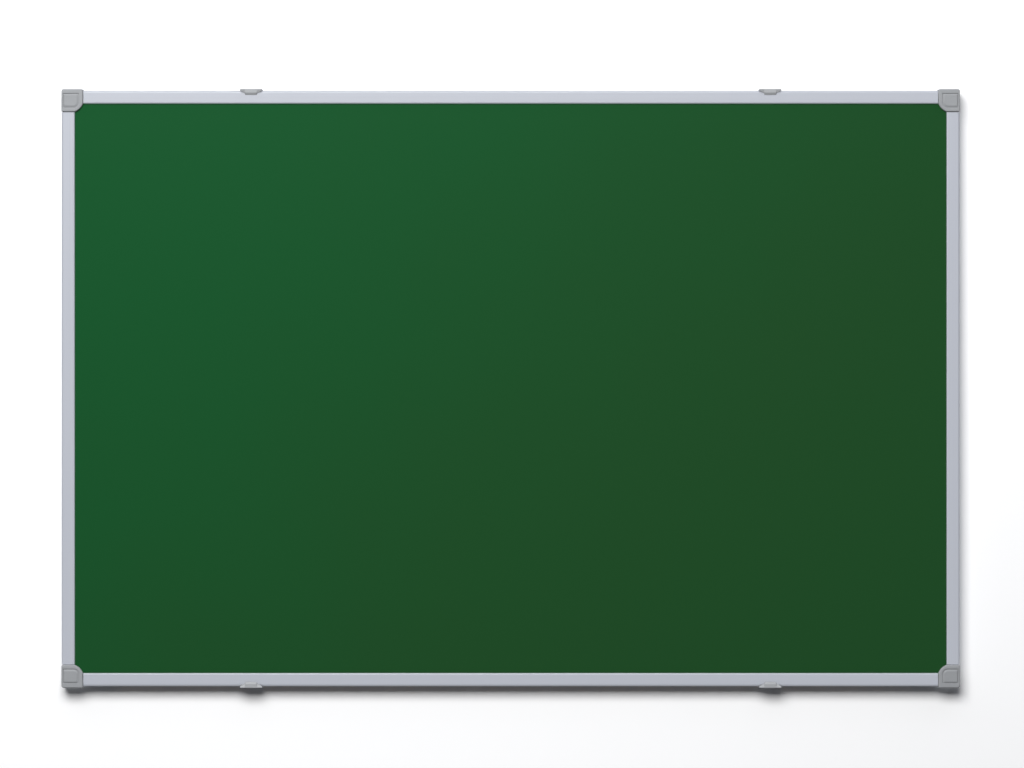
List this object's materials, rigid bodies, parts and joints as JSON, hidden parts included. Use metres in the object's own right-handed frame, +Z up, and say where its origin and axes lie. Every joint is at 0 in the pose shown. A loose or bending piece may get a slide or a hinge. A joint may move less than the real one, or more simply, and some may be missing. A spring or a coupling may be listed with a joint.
{
  "type": "wall chalkboard",
  "caption": "Landscape framed board with a smooth chalk-writing face, moulded corner caps and sliding clips that screw to a wall and hold the frame's long edges.",
  "frame": {"origin": "on the wall plane, at the centre of the four wall screws, which is the centre of the board's outline", "axes": "+X to the right along the board, +Y into the wall, +Z up"},
  "size_m": [0.9, 0.02, 0.6],
  "materials": {
    "chalk_enamel": "satin green enamel",
    "fibreboard": "pressed wood fibre",
    "galvanised_steel": "zinc spangle",
    "anodised_aluminium": "satin anodised",
    "cap_plastic": "fine moulded texture",
    "clip_plastic": "fine moulded texture",
    "screw_steel": "zinc plated"
  },
  "bodies": {
    "board": {"writing_sheet": "chalk_enamel", "core_panel": "fibreboard", "backing_sheet": "galvanised_steel", "top_rail": "anodised_aluminium", "bottom_rail": "anodised_aluminium", "left_rail": "anodised_aluminium", "right_rail": "anodised_aluminium", "corner_cap_top_left": "cap_plastic", "corner_cap_top_right": "cap_plastic", "corner_cap_bottom_left": "cap_plastic", "corner_cap_bottom_right": "cap_plastic", "corner_screws_top_left": "screw_steel", "corner_screws_top_right": "screw_steel", "corner_screws_bottom_left": "screw_steel", "corner_screws_bottom_right": "screw_steel"},
    "clip_top_left": {"wall_clip_top_left": "clip_plastic"},
    "clip_top_right": {"wall_clip_top_right": "clip_plastic"},
    "clip_bottom_left": {"wall_clip_bottom_left": "clip_plastic"},
    "clip_bottom_right": {"wall_clip_bottom_right": "clip_plastic"}
  },
  "joints": [
    {"name": "clip_top_left_slide", "type": "slide", "parent": "board", "child": "clip_top_left", "axis": [1, 0, 0], "range_m": [-0.157, 0.248]},
    {"name": "clip_top_right_slide", "type": "slide", "parent": "board", "child": "clip_top_right", "axis": [1, 0, 0], "range_m": [-0.248, 0.157]},
    {"name": "clip_bottom_left_slide", "type": "slide", "parent": "board", "child": "clip_bottom_left", "axis": [1, 0, 0], "range_m": [-0.157, 0.248]},
    {"name": "clip_bottom_right_slide", "type": "slide", "parent": "board", "child": "clip_bottom_right", "axis": [1, 0, 0], "range_m": [-0.248, 0.157]}
  ]
}
